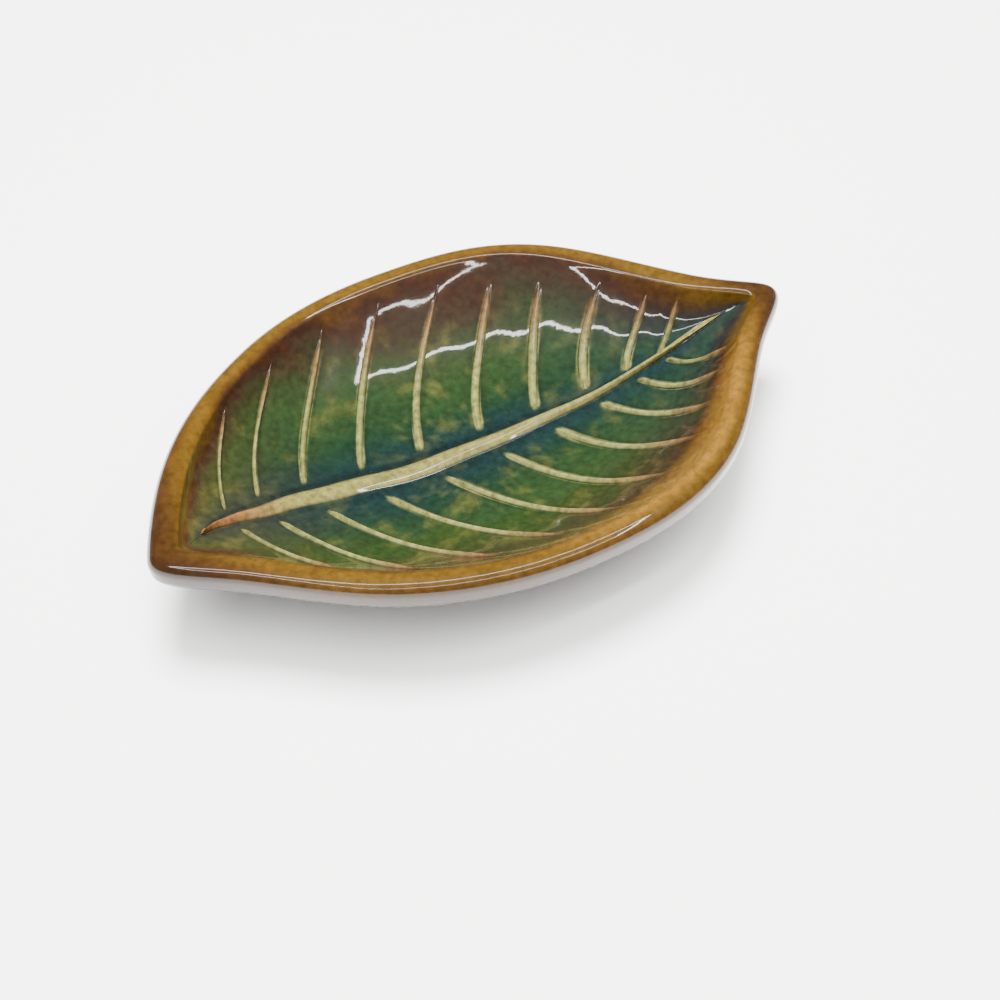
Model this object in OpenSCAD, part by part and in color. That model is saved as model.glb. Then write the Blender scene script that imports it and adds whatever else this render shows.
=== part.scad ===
// Leaf-shaped ring dish in glazed ceramic.
// The stem end points to -X, the leaf tip to +X, and the far edge to +Y.
// The origin is on the table, under the middle of the dish.

/* [Leaf] */
// Length over the rim, from the stem end to the leaf tip
leaf_length = 120; // [100:1:145]
// Width over the rim
leaf_width = 74; // [62:1:90]
// Height of the rim above the table
dish_height = 20; // [16:0.5:25]
// How far both tips bend toward the near edge
tip_bow = 3.7; // [0:0.1:6]
// Roundness of the stem end, as a share of half the width
stem_round = 0.17; // [0.1:0.01:0.25]
// Roundness of the leaf tip, as a share of half the width
tip_round = 0.12; // [0.06:0.01:0.2]

/* [Lip] */
// Thickness of the rolled lip
lip_thickness = 4.6; // [3.6:0.1:5.6]
// Height of the upright band on the outside of the lip
lip_band = 1.2; // [0.4:0.1:2.5]

/* [Bowl] */
// Thickness of the clay in the middle of the floor
floor_thickness = 4; // [3:0.1:5]
// How late the walls turn up: 2 is an even bowl, 4 is a flat floor with steep walls
wall_curve = 3.1; // [2:0.1:4]
// Depth of the bowl at both ends of the midrib
tip_depth = 3; // [2:0.1:4]
// How late the floor climbs toward the tips
tip_climb = 2.3; // [2:0.1:4]
// How late the underside climbs from the foot to the lip
under_curve = 1.5; // [1.3:0.05:1.8]

/* [Foot] */
// Length of the foot ring
foot_length = 58; // [44:1:70]
// Width of the foot ring
foot_width = 36; // [28:1:43]
// Height of the foot ring
foot_height = 1.6; // [1:0.1:2.5]
// Breadth of the clay in the foot ring, along its sides
foot_breadth = 3.4; // [2:0.1:5]

/* [Midrib] */
// Width of the midrib at its widest
midrib_width = 3.6; // [2.4:0.1:4.8]
// Height of the midrib above the floor
midrib_height = 1; // [0.4:0.1:1.6]
// Distance of the midrib from the centre line, toward the far edge
midrib_offset = 1.3; // [0:0.1:2.5]
// How far the midrib runs over toward the near edge on its way to the leaf tip
midrib_slant = 3.1; // [0:0.1:5]
// How far the stem end of the midrib bends toward the near edge
stem_bend = 5.6; // [3:0.1:7]
// Distance from the rim line to the stem end of the midrib
stem_gap = 6.7; // [6:0.1:9]
// Distance from the rim line to the leaf end of the midrib
leaf_gap = 5.7; // [5:0.1:8]

/* [Veins] */
// Number of veins on each side
vein_pairs = 10; // [6:1:12]
// Width of a vein
vein_width = 1.5; // [0.9:0.1:1.8]
// Height of a vein above the wall
vein_height = 0.6; // [0.3:0.05:1]
// Bare floor between the midrib and a vein
vein_gap = 1.4; // [0.6:0.1:2.4]
// How far a vein runs toward the leaf tip on its way to the rim
vein_lean = 21.5; // [14:0.5:24]
// How far a full-length vein on the far side bows toward the stem
far_vein_bow = 3.2; // [0:0.1:4.5]
// How far a full-length vein on the near side bows toward the stem
near_vein_bow = 1.5; // [0:0.1:4.5]
// Place of the first vein round the rim, in degrees from the stem end
first_vein = 51; // [46:1:60]
// Place of the last vein round the rim, in degrees from the stem end
last_vein = 147; // [138:1:152]
// How much closer the veins stand toward the leaf tip
vein_closing = 0.36; // [0:0.01:0.45]
// How far a near vein meets the rim ahead of its partner, in degrees
vein_lead = 1.9; // [0:0.1:4]
// Where a vein fades out, as a share of the way up the wall
vein_reach = 0.93; // [0.85:0.01:0.96]

/* [Hidden] */
far_names = [for (i = [1:vein_pairs]) str("far_vein_", i)];
near_names = [for (i = [1:vein_pairs]) str("near_vein_", i)];

glaze_green = "#4a5c35";
glaze_olive = "#a79a55";
glaze_straw = "#b5ad6c";
bare_clay = "#c9a27c";

// The leaf's half-width every 30 degrees round the rim, from the stem end to the leaf tip
far_fullness = [stem_round, 0.80, 0.99, 1, 0.92, 0.35, tip_round];
near_fullness = [stem_round, 0.44, 0.85, 1, 0.94, 0.43, tip_round];
fullness_step = 30;
far = 1;
near = -1;

lip_radius = lip_thickness / 2;
rim_half_length = leaf_length / 2 - lip_radius;
rim_half_width = leaf_width / 2 - lip_radius;
rim_center_z = dish_height - lip_radius;
floor_z = foot_height + floor_thickness;
stem_reach = rim_half_length - stem_gap;
leaf_reach = rim_half_length - leaf_gap;

// Where the lip rolls into the bowl and into the underside, in degrees from its top
lip_inner = 50;
lip_outer = 130;
lip_inner_share = 1 - lip_radius * sin(lip_inner) / rim_half_width;
lip_inner_z = rim_center_z + lip_radius * cos(lip_inner);
lip_outer_z = rim_center_z - lip_band + lip_radius * cos(lip_outer);

// The flat pad under the floor runs a little past the foot ring
pad_margin = 0.03;
pad_share = max(foot_length / leaf_length, foot_width / leaf_width) + pad_margin;
foot_inner_share = 1 - 2 * foot_breadth / foot_width;

// Rings of the bowl from the midrib to the lip, as shares of the way
midrib_share = midrib_width / 2 / rim_half_width;
vein_start = midrib_share + vein_gap / rim_half_width;
wall_steps = 9;
midrib_rings = [midrib_share / 2, midrib_share];
wall_rings = [for (k = [0:wall_steps]) vein_start + (vein_reach - vein_start) * k / wall_steps];
bowl_rings = concat([0], midrib_rings, wall_rings, [1]);
midrib_edge = 2;
vein_first_ring = 3;
vein_last_ring = vein_first_ring + wall_steps;

// The lip from inside to outside, in degrees from its top
lip_steps = [-25, 0, 25, 50, 70, 90];
under_steps = [110, lip_outer];
under_shares = [for (k = [1:6]) 1 + (pad_share - 1) * k / 6];
lip_first = len(bowl_rings);
band_row = lip_first + len(lip_steps);
under_first = band_row + 1;
pad_first = under_first + len(under_steps);
row_count = pad_first + len(under_shares);

// Columns run from the midrib to the rim; each vein takes three of them
rim_per_degree = rim_half_length * PI / 180;
vein_slope = atan(vein_lean / rim_half_width);
vein_half_angle = vein_width / 2 / rim_per_degree / cos(vein_slope);
stem_columns = 8;
gap_columns = 2;
tip_columns = 6;
first_column = stem_columns + 1;
column_pitch = 3 + gap_columns;

// Place of vein i round the rim; the veins stand closer toward the leaf tip
function vein_angle(i) =
    let (u = (i - 1) / (vein_pairs - 1))
    first_vein + (last_vein - first_vein) * u * (1 + vein_closing - vein_closing * u);

stem_angles = [for (k = [0:stem_columns - 1]) (first_vein - vein_half_angle) * k / stem_columns];
vein_angles = [
    for (i = [1:vein_pairs])
        let (a = vein_angle(i) + vein_half_angle)
        let (b = vein_angle(min(i + 1, vein_pairs)) - vein_half_angle)
        for (
            s = concat(
                [a - 2 * vein_half_angle, a - vein_half_angle, a],
                [for (g = [1:gap_columns]) if (i < vein_pairs) a + (b - a) * g / (gap_columns + 1)]
            )
        )
            s
];
tip_start = last_vein + vein_half_angle;
tip_angles = [for (k = [1:tip_columns]) tip_start + (180 - tip_start) * k / tip_columns];
column_angles = concat(stem_angles, vein_angles, tip_angles);
last_column = len(column_angles) - 1;
loop_columns = 2 * last_column;

// The midrib fades out a few columns short of both tips
midrib_first = 3;
midrib_last = last_column - 2;

// A smooth curve through the values v, read at u steps from the first one
function smooth_at(v, u) =
    let (n = len(v) - 1)
    let (i = max(min(floor(u), n - 1), 0))
    let (f = u - i)
    let (a = i > 0 ? v[i - 1] : 2 * v[0] - v[1])
    let (b = v[i])
    let (c = v[i + 1])
    let (d = i + 2 <= n ? v[i + 2] : 2 * v[n] - v[n - 1])
    (2 * b + (c - a) * f + (2 * a - 5 * b + 4 * c - d) * f * f + (3 * b - a - 3 * c + d) * f * f * f) / 2;

function unit(v) = v / norm(v);

// The rim line at q degrees round one side: the middle of the lip, seen from above
function rim_at(side, q) =
    let (fullness = smooth_at(side == far ? far_fullness : near_fullness, q / fullness_step))
    [-rim_half_length * cos(q), side * rim_half_width * fullness * sin(q) - tip_bow * cos(q) * cos(q)];

// Direction straight out of the leaf at the rim line
function rim_normal(side, q) =
    let (e = 0.4)
    let (along = rim_at(side, q + e) - rim_at(side, q - e))
    q <= 0 ? [-1, 0] : q >= 180 ? [1, 0] : unit([-side * along[1], side * along[0]]);

// A near vein meets the rim ahead of its partner on the far side
function rim_angle(side, s) = s - side * vein_lead / 2 * sin(s);

// The floor's centre line, where the column at angle s starts
function spine_at(s) =
    let (x = -(cos(s) > 0 ? stem_reach : leaf_reach) * cos(s) - vein_lean * sin(s) * sin(s))
    let (u = x / (x < 0 ? stem_reach : leaf_reach))
    let (bend = stem_bend * pow(max(-u, 0), 6))
    [x, midrib_offset - midrib_slant * u - bend,
        floor_z + (dish_height - tip_depth - floor_z) * pow(abs(u), tip_climb)];

// The inside of the bowl, a share t of the way from the centre line to the lip
function bowl_at(side, s, t) =
    let (start = spine_at(s))
    let (end = rim_at(side, rim_angle(side, s)) * lip_inner_share)
    let (run = norm([end[0] - start[0], end[1] - start[1]]) / rim_half_width)
    let (bow = (side == far ? far_vein_bow : near_vein_bow) * run * 4 * t * (1 - t))
    [start[0] + (end[0] - start[0]) * t - bow,
        start[1] + (end[1] - start[1]) * t,
        start[2] + (lip_inner_z - start[2]) * pow(t, wall_curve)];

// Direction straight out of the bowl's surface
function bowl_normal(side, s, t) =
    let (e = 0.01)
    let (along = bowl_at(side, s + 1, t) - bowl_at(side, s - 1, t))
    let (up = bowl_at(side, s, t + e) - bowl_at(side, s, t - e))
    unit(side * cross(along, up));

// A point of the lip, g degrees from its top, dropped by the upright band
function lip_at(side, s, g, drop) =
    let (q = rim_angle(side, s))
    let (rim = rim_at(side, q))
    let (inside = rim * (1 + lip_radius * sin(g) / rim_half_width))
    let (outside = rim + rim_normal(side, q) * lip_radius * sin(g))
    let (plan = g < 0 ? inside : outside)
    [plan[0], plan[1], rim_center_z + lip_radius * cos(g) - drop];

// The underside, at a share of the way out from the middle of the dish
function under_at(side, s, share) =
    let (edge = lip_at(side, s, lip_outer, lip_band))
    let (climb = pow(max((share - pad_share) / (1 - pad_share), 0), under_curve))
    [edge[0] * share, edge[1] * share, foot_height + (lip_outer_z - foot_height) * climb];

// A point of the shell, by row from the midrib over the lip to the pad under the floor
function shell_at(side, s, row) =
    row < lip_first ? bowl_at(side, s, bowl_rings[row])
    : row < band_row ? lip_at(side, s, lip_steps[row - lip_first], 0)
    : row == band_row ? lip_at(side, s, 90, lip_band)
    : row < pad_first ? lip_at(side, s, under_steps[row - under_first], lip_band)
    : under_at(side, s, under_shares[row - pad_first]);

// Columns are counted out along the far side and back along the near side
function loop_side(m) = m <= last_column ? far : near;
function loop_angle(m) = column_angles[m <= last_column ? m : loop_columns - m];

// The triangles of a four-cornered patch, without those that have shrunk to a line
function patch(a, b, c, d) = [for (f = [[a, c, b], [a, d, c]]) if (f[0] != f[1] && f[1] != f[2] && f[0] != f[2]) f];

function shell_index(row, m) =
    row == 0 ? min(m % loop_columns, loop_columns - m % loop_columns)
    : last_column + 1 + (row - 1) * loop_columns + m % loop_columns;

module dish_shell() {
    spine_points = [for (j = [0:last_column]) spine_at(column_angles[j])];
    ring_points = [
        for (row = [1:row_count - 1])
            for (m = [0:loop_columns - 1])
                shell_at(loop_side(m), loop_angle(m), row)
    ];
    middle = len(spine_points) + len(ring_points);
    ring_faces = [
        for (row = [0:row_count - 2])
            for (m = [0:loop_columns - 1])
                each patch(
                    shell_index(row, m), shell_index(row, m + 1),
                    shell_index(row + 1, m + 1), shell_index(row + 1, m)
                )
    ];
    pad_faces = [
        for (m = [0:loop_columns - 1])
            [shell_index(row_count - 1, m), middle, shell_index(row_count - 1, m + 1)]
    ];
    color(glaze_green)
        polyhedron(
            points = concat(spine_points, ring_points, [[0, 0, foot_height]]),
            faces = concat(ring_faces, pad_faces),
            convexity = 8
        );
}

// The leaf outline of the foot, a share of its full size
module foot_outline(share) {
    scale_x = share * foot_length / 2 / rim_half_length;
    scale_y = share * foot_width / 2 / rim_half_width;
    far_points = [for (q = [0:5:175]) rim_at(far, q)];
    near_points = [for (q = [180:-5:5]) rim_at(near, q)];
    polygon([for (p = concat(far_points, near_points)) [p[0] * scale_x, p[1] * scale_y]]);
}

module foot_ring() {
    color(bare_clay)
        linear_extrude(foot_height)
            difference() {
                foot_outline(1);
                foot_outline(foot_inner_share);
            }
}

// Height of the midrib along its length and across its width
function midrib_rise(j, row) =
    let (u = (j - midrib_first) / (midrib_last - midrib_first))
    midrib_height * pow(sin(180 * u), 0.4) * (row == 0 ? 1 : 0.72);

// The midrib sits on the shell's own grid: five points across, on rows 2, 1, 0, 1 and 2
module midrib() {
    across = 2 * midrib_edge + 1;
    base_points = [
        for (j = [midrib_first:midrib_last])
            for (a = [0:across - 1])
                shell_at(a < midrib_edge ? far : near, column_angles[j], abs(midrib_edge - a))
    ];
    raised_points = [
        for (j = [midrib_first + 1:midrib_last - 1])
            for (a = [1:across - 2])
                let (side = a <= midrib_edge ? far : near)
                let (row = abs(midrib_edge - a))
                let (normal = bowl_normal(side, column_angles[j], max(bowl_rings[row], 0.01)))
                shell_at(side, column_angles[j], row) + (row == 0 ? [0, 0, 1] : normal) * midrib_rise(j, row)
    ];
    base_count = len(base_points);
    function base(j, a) = (j - midrib_first) * across + a;
    function top(j, a) =
        a == 0 || a == across - 1 || j == midrib_first || j == midrib_last
            ? base(j, a)
            : base_count + (j - midrib_first - 1) * (across - 2) + a - 1;
    base_faces = [
        for (j = [midrib_first:midrib_last - 1])
            for (k = [0:midrib_edge - 1])
                let (f = midrib_edge - k)
                let (n = midrib_edge + k)
                each concat(
                    patch(base(j, f), base(j, f - 1), base(j + 1, f - 1), base(j + 1, f)),
                    patch(base(j + 1, n), base(j + 1, n + 1), base(j, n + 1), base(j, n))
                )
    ];
    top_faces = [
        for (j = [midrib_first:midrib_last - 1])
            for (a = [0:across - 2])
                each patch(top(j, a), top(j, a + 1), top(j + 1, a + 1), top(j + 1, a))
    ];
    color(glaze_olive)
        polyhedron(points = concat(base_points, raised_points), faces = concat(base_faces, top_faces), convexity = 4);
}

// A vein on the shell's own grid: three points across below, five across on top
module vein(side, i) {
    rows = vein_last_ring - vein_first_ring;
    middle = first_column + (i - 1) * column_pitch;
    function angle(a) = column_angles[middle + side * (a - 1)];
    function ring(r) = bowl_rings[vein_first_ring + r];
    base_points = [for (r = [0:rows]) for (a = [0:2]) bowl_at(side, angle(a), ring(r))];
    raised_points = [
        for (r = [1:rows - 1])
            let (normal = bowl_normal(side, angle(1), ring(r)) * vein_height * pow(sin(180 * r / rows), 0.5))
            let (left = bowl_at(side, angle(0), ring(r)))
            let (ridge = bowl_at(side, angle(1), ring(r)))
            let (right = bowl_at(side, angle(2), ring(r)))
            each [(left + ridge) / 2 + normal * 0.6, ridge + normal, (ridge + right) / 2 + normal * 0.6]
    ];
    base_count = len(base_points);
    end_corner = [0, 0, 1, 2, 2];
    function base(r, a) = 3 * r + a;
    function top(r, a) =
        a == 0 ? base(r, 0)
        : a == 4 ? base(r, 2)
        : r == 0 || r == rows ? base(r, end_corner[a])
        : base_count + 3 * (r - 1) + a - 1;
    base_faces = [
        for (r = [0:rows - 1])
            for (a = [0:1])
                each patch(base(r, a), base(r + 1, a), base(r + 1, a + 1), base(r, a + 1))
    ];
    top_faces = [
        for (r = [0:rows - 1])
            for (a = [0:3])
                each patch(top(r, a), top(r, a + 1), top(r + 1, a + 1), top(r + 1, a))
    ];
    color(glaze_straw)
        polyhedron(points = concat(base_points, raised_points), faces = concat(base_faces, top_faces), convexity = 4);
}

dish_shell();
foot_ring();
midrib();
for (i = [1:vein_pairs]) vein(far, i);
for (i = [1:vein_pairs]) vein(near, i);
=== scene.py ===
import math
import bpy
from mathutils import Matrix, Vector


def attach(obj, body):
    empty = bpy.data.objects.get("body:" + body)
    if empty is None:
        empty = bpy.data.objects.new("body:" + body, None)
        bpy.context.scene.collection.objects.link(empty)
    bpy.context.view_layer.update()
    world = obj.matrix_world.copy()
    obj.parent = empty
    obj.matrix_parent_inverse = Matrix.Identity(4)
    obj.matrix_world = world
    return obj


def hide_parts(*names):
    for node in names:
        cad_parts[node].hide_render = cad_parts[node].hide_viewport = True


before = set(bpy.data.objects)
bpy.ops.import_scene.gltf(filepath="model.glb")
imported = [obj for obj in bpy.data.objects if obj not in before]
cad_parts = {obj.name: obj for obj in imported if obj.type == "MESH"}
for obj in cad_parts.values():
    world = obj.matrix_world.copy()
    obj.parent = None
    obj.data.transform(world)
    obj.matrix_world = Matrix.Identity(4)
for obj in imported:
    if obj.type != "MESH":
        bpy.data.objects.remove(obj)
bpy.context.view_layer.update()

print("clay parts loaded")

# The leaf in metres and degrees, on the same curves as the clay parts
leaf = {
    "halfLength": 0.0577,
    "halfWidth": 0.0347,
    "height": 0.020,
    "tipBow": 0.0037,
    "far": (0.17, 0.80, 0.99, 1.0, 0.92, 0.35, 0.12),
    "near": (0.17, 0.44, 0.85, 1.0, 0.94, 0.43, 0.12),
    "glazeInset": 0.999,
}

shell = {
    "lipRadius": 0.0023,
    "lipBand": 0.0012,
    "lipInner": 50,
    "lipOuter": 130,
    "floor": 0.0056,
    "wallCurve": 3.1,
    "tipDepth": 0.003,
    "tipClimb": 2.3,
    "underCurve": 1.5,
    "pad": 0.5165,
    "footHeight": 0.0016,
    "pillow": 0.00008,
    "pillowStart": 0.12,
    "pillowRise": 0.3,
    "pillowFall": 0.14,
    "columns": 360,
}


def sinOf(angle):
    return math.sin(math.radians(angle))


def cosOf(angle):
    return math.cos(math.radians(angle))


def easeIn(value):
    value = max(0.0, min(1.0, value))
    return value * value * (3 - 2 * value)


def smoothAt(values, u):
    n = len(values) - 1
    i = max(0, min(int(math.floor(u)), n - 1))
    f = u - i
    a = values[i - 1] if i > 0 else 2 * values[0] - values[1]
    b = values[i]
    c = values[i + 1]
    d = values[i + 2] if i + 2 <= n else 2 * values[n] - values[n - 1]
    square = 2 * a - 5 * b + 4 * c - d
    cube = 3 * b - a - 3 * c + d
    return (2 * b + (c - a) * f + square * f * f + cube * f * f * f) / 2


def rimAt(side, q):
    fullness = smoothAt(leaf["far"] if side > 0 else leaf["near"], q / 30)
    y = side * leaf["halfWidth"] * fullness * sinOf(q) - leaf["tipBow"] * cosOf(q) ** 2
    return Vector((-leaf["halfLength"] * cosOf(q), y, 0))


def rimNormal(side, q):
    if q < 0.01 or q > 179.99:
        return Vector((-1 if q < 90 else 1, 0, 0))
    run = rimAt(side, q + 0.4) - rimAt(side, q - 0.4)
    return Vector((-side * run.y, side * run.x, 0)).normalized()


def rimAngle(side, s):
    return s - side * veins["lead"] / 2 * sinOf(s)


midrib = {
    "stemReach": 0.0510,
    "leafReach": 0.0520,
    "offset": 0.0013,
    "slant": 0.0031,
    "stemBend": 0.0056,
    "lean": 0.0215,
    "share": 0.052,
    "narrow": 0.92,
    "swell": 0.36,
    "height": 0.0010,
    "first": 14,
    "last": 172,
    "sway": 0.007,
    "ripple": 0.004,
    "fadeIn": 0.07,
    "fadeOut": 0.1,
    "taper": 0.3,
    "farPool": 0.9,
    "nearPool": 0.45,
    "poolPlace": 1.25,
    "poolWidth": 0.35,
}


def spineAt(s):
    reach = midrib["stemReach"] if cosOf(s) > 0 else midrib["leafReach"]
    x = -reach * cosOf(s) - midrib["lean"] * sinOf(s) ** 2
    u = x / (midrib["stemReach"] if x < 0 else midrib["leafReach"])
    y = midrib["offset"] - midrib["slant"] * u - midrib["stemBend"] * max(-u, 0) ** 6
    climb = leaf["height"] - shell["tipDepth"] - shell["floor"]
    return Vector((x, y, shell["floor"] + climb * abs(u) ** shell["tipClimb"]))


innerShare = 1 - shell["lipRadius"] * sinOf(shell["lipInner"]) / leaf["halfWidth"]
rimZ = leaf["height"] - shell["lipRadius"]
innerZ = rimZ + shell["lipRadius"] * cosOf(shell["lipInner"])
outerZ = rimZ - shell["lipBand"] + shell["lipRadius"] * cosOf(shell["lipOuter"])


def bowlAt(side, s, t):
    start = spineAt(s)
    end = rimAt(side, rimAngle(side, s)) * innerShare
    run = math.hypot(end.x - start.x, end.y - start.y) / leaf["halfWidth"]
    bow = (veins["farBow"] if side > 0 else veins["nearBow"]) * run * 4 * t * (1 - t)
    x = start.x + (end.x - start.x) * t - bow
    y = start.y + (end.y - start.y) * t
    return Vector((x, y, start.z + (innerZ - start.z) * max(t, 0) ** shell["wallCurve"]))


def bowlNormal(side, s, t):
    t = max(t, 0.012)
    along = bowlAt(side, s + 1, t) - bowlAt(side, s - 1, t)
    up = bowlAt(side, s, t + 0.01) - bowlAt(side, s, t - 0.01)
    return (along.cross(up) * side).normalized()


def lipAt(side, s, g, drop):
    q = rimAngle(side, s)
    rim = rimAt(side, q)
    reach = shell["lipRadius"] * sinOf(g)
    plan = rim * (1 + reach / leaf["halfWidth"]) if g < 0 else rim + rimNormal(side, q) * reach
    return Vector((plan.x, plan.y, rimZ + shell["lipRadius"] * cosOf(g) - drop))


def underAt(side, s, share):
    edge = lipAt(side, s, shell["lipOuter"], shell["lipBand"])
    climb = max((share - shell["pad"]) / (1 - shell["pad"]), 0) ** shell["underCurve"]
    z = shell["footHeight"] + (outerZ - shell["footHeight"]) * climb
    return Vector((edge.x * share, edge.y * share, z))


# The veins stand closer together toward the leaf tip, and each wanders a little
veins = {
    "count": 10,
    "first": 51,
    "last": 147,
    "closing": 0.36,
    "lead": 1.9,
    "farBow": 0.0032,
    "nearBow": 0.0015,
    "start": 0.092,
    "reach": 0.95,
    "spread": 0.95,
    "height": 0.0006,
    "wander": 0.55,
    "fadeIn": 0.1,
    "fadeOut": 0.24,
    "taper": 0.35,
    "pool": 0.55,
    "poolPlace": 1.25,
    "poolWidth": 0.4,
}

# How deep the underside of the midrib and the veins is sunk into the bowl
ridgeSeat = 0.0001


def veinAngle(i):
    u = i / (veins["count"] - 1)
    swing = veins["closing"]
    return veins["first"] + (veins["last"] - veins["first"]) * u * (1 + swing - swing * u)


def veinWander(side, i, t):
    return veins["wander"] * t * math.sin(5.2 * t + 1.9 * i + side)


def veinReach(t):
    u = (t - veins["start"]) / (veins["reach"] - veins["start"])
    return easeIn(u / veins["fadeIn"]) * easeIn((1 - u) / veins["fadeOut"])


def veinCrest(away, t):
    a = min(abs(away) / veins["spread"], 1)
    return (1 - a * a) ** 2 * veinReach(t)


def veinsAt(side, s, t):
    gaps = [s - veinAngle(i) - veinWander(side, i, t) for i in range(veins["count"])]
    nearest = min(gaps, key=abs)
    behind = [g for g in gaps if g >= 0]
    ahead = [-g for g in gaps if g < 0]
    pillow = 0
    if behind and ahead:
        place = min(behind) / (min(behind) + min(ahead))
        pillow = shell["pillow"] * math.sin(math.pi * place) ** 2
        pillow *= easeIn((t - shell["pillowStart"]) / shell["pillowRise"])
        pillow *= easeIn((1 - t) / shell["pillowFall"])
    edge = abs(nearest) / veins["spread"]
    fall = math.exp(-((edge - veins["poolPlace"]) / veins["poolWidth"]) ** 2)
    return veinCrest(nearest, t), veins["pool"] * fall * veinReach(t), pillow


def ribCentre(s):
    return midrib["sway"] * sinOf(s * 9.5 + 40) + midrib["ripple"] * sinOf(s * 21)


def ribShare(s):
    return midrib["share"] * (midrib["narrow"] + midrib["swell"] * sinOf(s) ** 4)


def ribReach(s):
    u = (s - midrib["first"]) / (midrib["last"] - midrib["first"])
    return easeIn(u / midrib["fadeIn"]) * easeIn((1 - u) / midrib["fadeOut"])


def marksAt(side, s, t):
    crest, pool, pillow = veinsAt(side, s, t)
    w = (side * t - ribCentre(s)) / ribShare(s)
    rib = max(0, 1 - w * w) ** 1.5 * ribReach(s)
    fall = math.exp(-((abs(w) - midrib["poolPlace"]) / midrib["poolWidth"]) ** 2)
    pool += (midrib["farPool"] if w > 0 else midrib["nearPool"]) * fall * ribReach(s)
    return {"share": t, "crest": crest, "rib": rib, "pool": min(1, pool)}, pillow


# A flat grid is laid on the form; place() gives each point and its glaze marks
def formPiece(name, columns, rows, place):
    bpy.ops.object.select_all(action="DESELECT")
    bpy.ops.mesh.primitive_grid_add(x_subdivisions=columns, y_subdivisions=rows, size=2)
    piece = bpy.context.object
    piece.name = name
    piece.data.name = name
    marks = {"share": [], "crest": [], "rib": [], "pool": []}
    for vertex in piece.data.vertices:
        point, values = place(round((vertex.co.x + 1) / 2, 6), round((vertex.co.y + 1) / 2, 6))
        vertex.co = point * leaf["glazeInset"]
        for key in marks:
            marks[key].append(values[key])
    for key in marks:
        piece.data.attributes.new(key, "FLOAT", "POINT").data.foreach_set("value", marks[key])
    bpy.ops.object.mode_set(mode="EDIT")
    bpy.ops.mesh.select_all(action="SELECT")
    bpy.ops.mesh.remove_doubles(threshold=0.000001)
    bpy.ops.mesh.normals_make_consistent(inside=False)
    bpy.ops.object.mode_set(mode="OBJECT")
    bpy.ops.object.shade_smooth_by_angle(angle=math.radians(55))
    return piece


def loopPlace(u):
    return (1, 360 * u) if u <= 0.5 else (-1, 360 * (1 - u))


def hexColor(code):
    parts = [int(code[i:i + 2], 16) / 255 for i in (1, 3, 5)]
    return [p / 12.92 if p <= 0.04045 else ((p + 0.055) / 1.055) ** 2.4 for p in parts] + [1]


def addNode(tree, kind, settings=None, values=None):
    node = tree.nodes.new("ShaderNode" + kind)
    for key, value in (settings or {}).items():
        setattr(node, key, value)
    for key, value in (values or {}).items():
        if isinstance(value, bpy.types.NodeSocket):
            tree.links.new(value, node.inputs[key])
        else:
            node.inputs[key].default_value = value
    return node


def mixColor(tree, factor, first, second, blend="MIX"):
    settings = {"data_type": "RGBA", "blend_type": blend}
    return addNode(tree, "Mix", settings, {0: factor, 6: first, 7: second}).outputs[2]


def times(tree, *values):
    result = values[0]
    for value in values[1:]:
        result = addNode(tree, "Math", {"operation": "MULTIPLY"}, {0: result, 1: value}).outputs[0]
    return result


def plus(tree, first, second):
    return addNode(tree, "Math", {"operation": "ADD"}, {0: first, 1: second}).outputs[0]


def between(tree, value, low, high, toLow=0.0, toHigh=1.0):
    values = {"Value": value, "From Min": low, "From Max": high, "To Min": toLow, "To Max": toHigh}
    return addNode(tree, "MapRange", {"interpolation_type": "SMOOTHSTEP"}, values).outputs[0]


def grain(tree, coords, sizeMm, detail):
    values = {"Vector": coords, "Scale": 1000 / sizeMm, "Detail": detail}
    return addNode(tree, "TexNoise", {}, values).outputs[0]


def attribute(tree, name):
    return addNode(tree, "Attribute", {"attribute_name": name}).outputs[2]


def rampColor(tree, factor, stops):
    node = addNode(tree, "ValToRGB", {}, {0: factor})
    elements = node.color_ramp.elements
    elements.remove(elements[-1])
    elements[0].position = stops[0][0]
    elements[0].color = hexColor(stops[0][1])
    for position, code in stops[1:]:
        elements.new(position).color = hexColor(code)
    return node.outputs[0]


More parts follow.
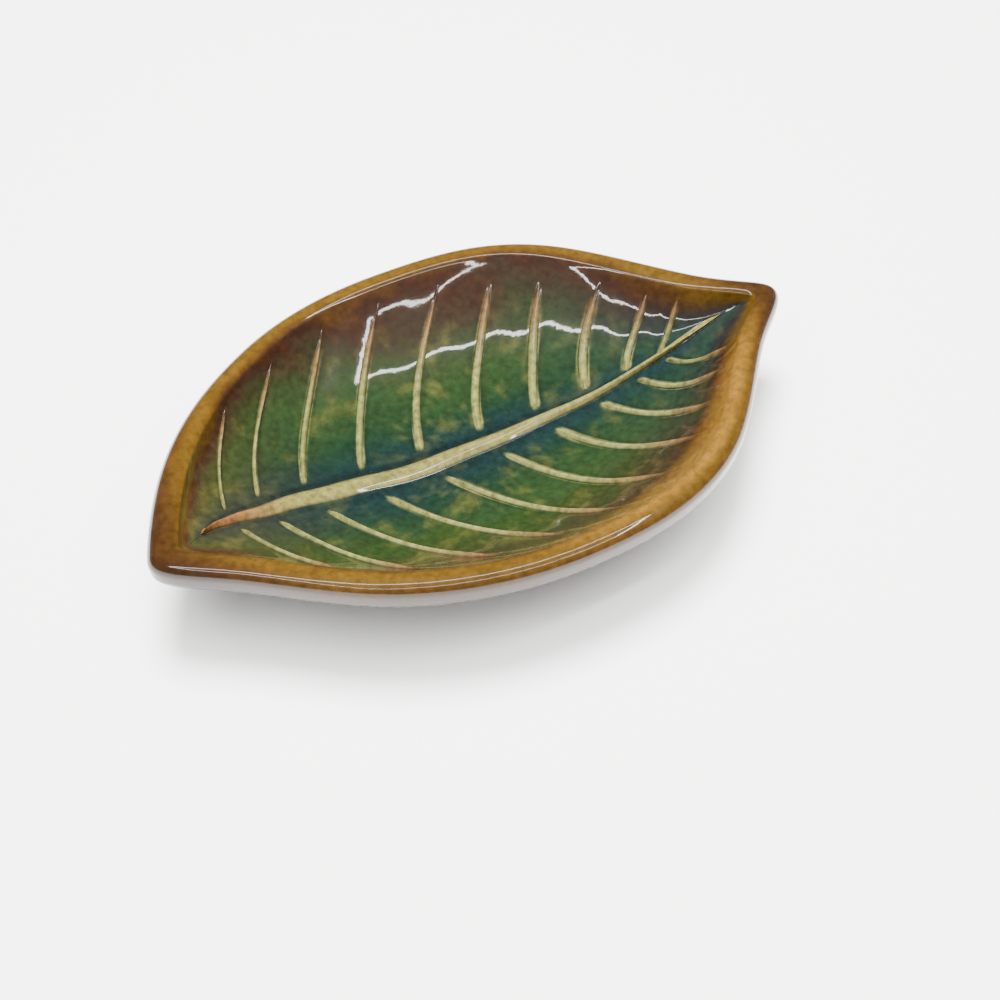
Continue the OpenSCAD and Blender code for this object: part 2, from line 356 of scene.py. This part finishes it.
# Glossy majolica glaze, green in the well and amber at the rim. A layer is a hue and how much of it
# covers what is under it. All but the flecks are multiplied by the greys of "depth"
glaze = {
    "ior": 1.46,
    "layers": [
        (0.000, "#183832"), (0.090, "#27482a"), (0.190, "#395628"), (0.250, "#414b26"),
        (0.288, "#4a3a26"), (0.322, "#4f2d1a"), (0.352, "#6b4517"), (0.420, "#8a641a"),
        (0.520, "#84601a"), (0.640, "#724a17"), (0.800, "#57351a"), (1.000, "#45301c"),
    ],
    "olive": ("#787a3a", 0.5),
    "wellTeal": ("#1e3a3f", 0.55),
    "tipTeal": ("#1e3a3f", 0.6),
    "purple": ("#6a4a2a", 0.3),
    "amber": ("#c08a35", 0.8),
    "tipBrown": ("#4a2a15", 0.75),
    "veinStops": [(0.0, "#c2c06a"), (0.55, "#c6c476"), (0.8, "#b08a58"), (0.95, "#8a5a30")],
    "straw": "#c0b562",
    "blush": "#c0824a",
    "pooled": ("#131c1b", 0.62),
    "fleck": ("#241d14", 0.5),
    "depth": [(0.3, "#6c6c6c"), (0.7, "#8c8c8c")],
    "cloudMm": 16,
    "patchMm": 5,
    "mottleMm": 1.2,
    "fleckMm": 0.5,
    "peelMm": 2.2,
    "peelDepth": 0.000014,
    "roughness": (0.3, 0.42),
    "specular": 0.12,
    "coat": 0.9,
    "coatRoughness": 0.045,
    "bowlInside": (0.95, 0.7),
    "well": (0.36, 0.08),
    "overLip": (0.92, 1.12),
    "towardTip": (0.012, 0.045),
    "towardStem": (-0.022, -0.050),
    "bothEnds": (0.045, 0.057),
    "nearSide": (-0.004, -0.018),
    "rightHalf": (-0.012, 0.014),
    "blushEnd": (-0.033, -0.045),
}


def cover(tree, color, layer, *factors):
    code, amount = glaze[layer]
    return mixColor(tree, times(tree, *factors, amount), color, hexColor(code))


def makeGlaze(name):
    material = bpy.data.materials.new(name)
    material.use_nodes = True
    tree = material.node_tree
    tree.nodes.clear()
    coords = addNode(tree, "TexCoord").outputs["Object"]
    axes = addNode(tree, "SeparateXYZ", {}, {0: coords})
    x, y = axes.outputs[0], axes.outputs[1]
    share = attribute(tree, "share")
    crest = attribute(tree, "crest")
    rib = attribute(tree, "rib")
    pool = attribute(tree, "pool")
    cloud = grain(tree, coords, glaze["cloudMm"], 3.0)
    patch = grain(tree, coords, glaze["patchMm"], 4.0)
    mottle = grain(tree, coords, glaze["mottleMm"], 3.0)
    fleck = grain(tree, coords, glaze["fleckMm"], 1.0)

    # The hues change from the midrib up the wall, over the lip and down the outside, with uneven edges
    cloudDrift = between(tree, cloud, 0.25, 0.75, -0.09, 0.09)
    drift = plus(tree, cloudDrift, between(tree, patch, 0.3, 0.7, -0.04, 0.04))
    farOut = addNode(tree, "Math", {"operation": "ABSOLUTE"}, {0: x}).outputs[0]
    drift = plus(tree, drift, between(tree, farOut, 0.034, 0.055, 0.0, 0.42))
    level = times(tree, plus(tree, share, drift), 1 / 3)
    color = rampColor(tree, level, glaze["layers"])
    inBowl = between(tree, share, *glaze["bowlInside"])
    color = cover(tree, color, "olive", between(tree, patch, 0.5, 0.68), inBowl)
    color = cover(tree, color, "wellTeal", between(tree, share, *glaze["well"]))
    towardTip = between(tree, x, *glaze["towardTip"])
    color = cover(tree, color, "tipTeal", towardTip, inBowl)
    towardStem = between(tree, x, *glaze["towardStem"])
    color = cover(tree, color, "purple", towardStem, between(tree, share, 1.05, 0.9))
    onLip = between(tree, share, *glaze["overLip"])
    color = cover(tree, color, "tipBrown", between(tree, farOut, *glaze["bothEnds"]), onLip)
    nearSide = between(tree, y, *glaze["nearSide"])
    rightHalf = between(tree, x, *glaze["rightHalf"])
    nearLip = times(tree, nearSide, rightHalf, between(tree, share, 0.86, 1.0))
    color = cover(tree, color, "amber", nearLip, between(tree, share, 1.55, 1.2))

    # The glaze runs off the ridges and pools beside them
    color = cover(tree, color, "pooled", pool)
    veinColor = rampColor(tree, share, glaze["veinStops"])
    veinCover = times(tree, between(tree, crest, 0.04, 0.6), between(tree, mottle, 0.2, 0.6, 0.62, 0.92))
    color = mixColor(tree, veinCover, color, veinColor)
    blush = between(tree, x, *glaze["blushEnd"])
    ribColor = mixColor(tree, blush, hexColor(glaze["straw"]), hexColor(glaze["blush"]))
    ribCover = times(tree, between(tree, rib, 0.03, 0.45), between(tree, mottle, 0.2, 0.6, 0.72, 0.97))
    color = mixColor(tree, ribCover, color, ribColor)
    shade = rampColor(tree, mottle, glaze["depth"])
    color = mixColor(tree, 1.0, color, shade, "MULTIPLY")
    color = cover(tree, color, "fleck", between(tree, fleck, 0.66, 0.74))

    peel = grain(tree, coords, glaze["peelMm"], 2.0)
    relief = {"Strength": 1.0, "Distance": glaze["peelDepth"], "Height": peel}
    bump = addNode(tree, "Bump", {}, relief).outputs[0]
    values = {
        "Base Color": color,
        "Roughness": between(tree, mottle, 0.3, 0.7, *glaze["roughness"]),
        "IOR": glaze["ior"],
        "Specular IOR Level": glaze["specular"],
        "Coat Weight": glaze["coat"],
        "Coat Roughness": glaze["coatRoughness"],
        "Coat IOR": glaze["ior"],
        "Normal": bump,
        "Coat Normal": bump,
    }
    shader = addNode(tree, "BsdfPrincipled", {}, values)
    addNode(tree, "OutputMaterial", {}, {"Surface": shader.outputs[0]})
    return material


def hand(piece, node, material):
    piece.data.materials.clear()
    piece.data.materials.append(material)
    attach(piece, "root")
    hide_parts(node)


bodyGlaze = makeGlaze("majolica glaze, green well and amber rim")
ribGlaze = makeGlaze("majolica glaze, straw midrib")
veinGlaze = makeGlaze("majolica glaze, broken over the veins")
print("glazes mixed")

# Rows of the shell from the midrib, over the lip, to the middle of the underside
profile = [("bowl", k / 56, 0) for k in range(57)]
profile += [("lip", 7 * k - shell["lipInner"], 0) for k in range(1, 21)]
profile += [("lip", 90, shell["lipBand"] / 2), ("lip", 90, shell["lipBand"])]
profile += [("lip", 90 + 8 * k, shell["lipBand"]) for k in range(1, 6)]
profile += [("under", 1 - (1 - shell["pad"]) * k / 14, 0) for k in range(1, 15)]
profile += [("under", shell["pad"] * (1 - k / 5), 0) for k in range(1, 6)]


def placeShell(u, v):
    side, s = loopPlace(u)
    kind, value, drop = profile[round(v * (len(profile) - 1))]
    marks = {"share": 0.0, "crest": 0.0, "rib": 0.0, "pool": 0.0}
    if kind == "bowl":
        marks, pillow = marksAt(side, s, value)
        point = bowlAt(side, s, value)
        if pillow > 0:
            point += bowlNormal(side, s, min(value, 0.985)) * pillow
        return point, marks
    if kind == "lip":
        inner = shell["lipInner"]
        marks["share"] = 1 + (value + inner) / (90 + inner) + drop * 40
        return lipAt(side, s, value, drop), marks
    marks["share"] = 2.35 + 0.65 * (1 - value)
    return underAt(side, s, value), marks


body = formPiece("leafDishBody", shell["columns"], len(profile) - 1, placeShell)
hand(body, "dish_shell", bodyGlaze)
print("body formed")


def placeMidrib(u, v):
    s = midrib["first"] + (midrib["last"] - midrib["first"]) * v
    w = math.cos(2 * math.pi * u)
    taper = max(0.0, math.sin(math.pi * v)) ** midrib["taper"]
    across = ribCentre(s) + w * ribShare(s) * taper
    side = 1 if across >= 0 else -1
    t = abs(across)
    marks = marksAt(side, s, t)[0]
    marks["rib"] = (1 - w * w) ** 1.5 * ribReach(s)
    seat = -ridgeSeat * taper * (1 - w * w)
    lift = midrib["height"] * marks["rib"] if u < 0.5 else seat
    return bowlAt(side, s, t) + bowlNormal(side, s, t) * lift, marks


rib = formPiece("leafDishMidrib", 28, 220, placeMidrib)
hand(rib, "midrib", ribGlaze)
print("midrib formed")


def formVein(side, i):
    def placeVein(u, v):
        t = veins["start"] + (veins["reach"] - veins["start"]) * v
        w = math.cos(2 * math.pi * u)
        taper = max(0.0, math.sin(math.pi * v)) ** veins["taper"]
        away = w * veins["spread"] * taper
        s = veinAngle(i) + veinWander(side, i, t) + away
        marks, pillow = marksAt(side, s, t)
        seat = -ridgeSeat * taper * (1 - w * w)
        lift = veins["height"] * veinCrest(away / max(taper, 0.01), t) if u < 0.5 else seat
        return bowlAt(side, s, t) + bowlNormal(side, s, t) * (pillow + lift), marks

    words = "Far" if side > 0 else "Near"
    return formPiece("leafDish" + words + "Vein" + str(i + 1), 20, 60, placeVein)


for i in range(veins["count"]):
    for side, words in ((1, "far"), (-1, "near")):
        hand(formVein(side, i), words + "_vein_" + str(i + 1), veinGlaze)
print("veins formed")

# Bare earthenware where the foot was wiped clean of glaze
clay = {
    "name": "buff earthenware, wiped bare and fired",
    "base": "#c9a27c",
    "dark": "#a57f5c",
    "grogMm": 0.7,
    "ior": 1.5,
}


def makeClay():
    material = bpy.data.materials.new(clay["name"])
    material.use_nodes = True
    tree = material.node_tree
    tree.nodes.clear()
    coords = addNode(tree, "TexCoord").outputs["Object"]
    grog = grain(tree, coords, clay["grogMm"], 4.0)
    color = mixColor(tree, between(tree, grog, 0.4, 0.65), hexColor(clay["base"]), hexColor(clay["dark"]))
    bump = addNode(tree, "Bump", {}, {"Strength": 0.6, "Distance": 0.0001, "Height": grog}).outputs[0]
    values = {"Base Color": color, "Roughness": 0.85, "IOR": clay["ior"], "Normal": bump}
    shader = addNode(tree, "BsdfPrincipled", {}, values)
    addNode(tree, "OutputMaterial", {}, {"Surface": shader.outputs[0]})
    return material


foot = {"length": 0.058, "width": 0.036, "columns": 240}

# Inset and height of the foot's section in millimetres, down the outside and up the inside
section = [(0, 1.75), (0, 1.0), (0, 0.45), (0.05, 0.22), (0.15, 0.08), (0.35, 0), (1.7, 0)]
section += [(3.05, 0), (3.25, 0.08), (3.35, 0.22), (3.4, 0.45), (3.4, 1.0), (3.4, 1.75), (0, 1.75)]


def placeFoot(u, v):
    side, q = loopPlace(u)
    inset, z = section[round(v * (len(section) - 1))]
    rim = rimAt(side, q)
    share = 1 - inset * 0.002 / foot["width"]
    x = rim.x * foot["length"] / 2 / leaf["halfLength"] * share
    y = rim.y * foot["width"] / 2 / leaf["halfWidth"] * share
    return Vector((x, y, z * 0.001)), {"share": 3.0, "crest": 0.0, "rib": 0.0, "pool": 0.0}


ring = formPiece("leafDishFoot", foot["columns"], len(section) - 1, placeFoot)
hand(ring, "foot_ring", makeClay())
print("foot formed")

# Soft white studio: a bright open frame of strips overhead and an even white room
studio = {
    "frameX": -0.12,
    "frameY": -0.32,
    "frameZ": 0.55,
    "frameLength": 0.8,
    "frameWidth": 0.38,
    "strip": 0.02,
    "barWatts": 2.5,
    "keyWatts": 18.3,
    "keySize": 0.26,
    "keyPlace": (0.04, 0.14, 0.60),
    "fillWatts": 22.9,
    "fillSize": 1.0,
    "fillPlace": (0, 0, 0.8),
    "room": 0.22,
    "roomColor": "#fbfbfa",
    "paper": "#e9e9e7",
}


def addStrip(x, y, sizeX, sizeY, watts):
    bpy.ops.object.light_add(type="AREA", location=(x, y, studio["frameZ"]))
    lamp = bpy.context.object
    lamp.data.shape = "RECTANGLE"
    lamp.data.size = sizeX
    lamp.data.size_y = sizeY
    lamp.data.energy = watts


for turn in (-1, 1):
    barY = studio["frameY"] + turn * studio["frameWidth"] / 2
    addStrip(studio["frameX"], barY, studio["frameLength"], studio["strip"], studio["barWatts"])
    endX = studio["frameX"] + turn * studio["frameLength"] / 2
    addStrip(endX, studio["frameY"], studio["strip"], studio["frameWidth"], studio["barWatts"] / 2)

# A soft lamp behind the dish throws the shadow toward the camera and stays out of the reflections
bpy.ops.object.light_add(type="AREA", location=studio["keyPlace"])
key = bpy.context.object
key.data.shape = "DISK"
key.data.size = studio["keySize"]
key.data.energy = studio["keyWatts"]
key.rotation_euler = (Vector((0, 0, 0)) - key.location).to_track_quat("-Z", "Y").to_euler()
key.visible_glossy = False

# An even lamp overhead fills the shadows and also stays out of the reflections
bpy.ops.object.light_add(type="AREA", location=studio["fillPlace"])
fill = bpy.context.object
fill.data.shape = "SQUARE"
fill.data.size = studio["fillSize"]
fill.data.energy = studio["fillWatts"]
fill.visible_glossy = False

world = bpy.data.worlds.new("white room")
world.use_nodes = True
for node in world.node_tree.nodes:
    if node.type == "BACKGROUND":
        node.inputs[0].default_value = hexColor(studio["roomColor"])
        node.inputs[1].default_value = studio["room"]
bpy.context.scene.world = world

bpy.ops.mesh.primitive_plane_add(size=4)
floor = bpy.context.object
floor.name = "whiteTable"
paper = bpy.data.materials.new("matte white paper")
paper.use_nodes = True
paper.node_tree.nodes.clear()
paperLook = {"Base Color": hexColor(studio["paper"]), "Roughness": 0.9}
paperShader = addNode(paper.node_tree, "BsdfPrincipled", {}, paperLook)
addNode(paper.node_tree, "OutputMaterial", {}, {"Surface": paperShader.outputs[0]})
floor.data.materials.append(paper)

# The place and lens put the dish's outline near the photograph's
shot = {
    "place": (-0.07560, -0.13240, 0.17760),
    "aim": (-0.00435, -0.01415, 0.010),
    "lens": 47.4,
    "sensor": 36,
    "nearest": 0.01,
}

bpy.ops.object.camera_add(location=shot["place"])
camera = bpy.context.object
camera.data.lens = shot["lens"]
camera.data.sensor_width = shot["sensor"]
camera.data.clip_start = shot["nearest"]
aim = Vector(shot["aim"]) - camera.location
camera.rotation_euler = aim.to_track_quat("-Z", "Y").to_euler()
bpy.context.scene.camera = camera
print("studio set")
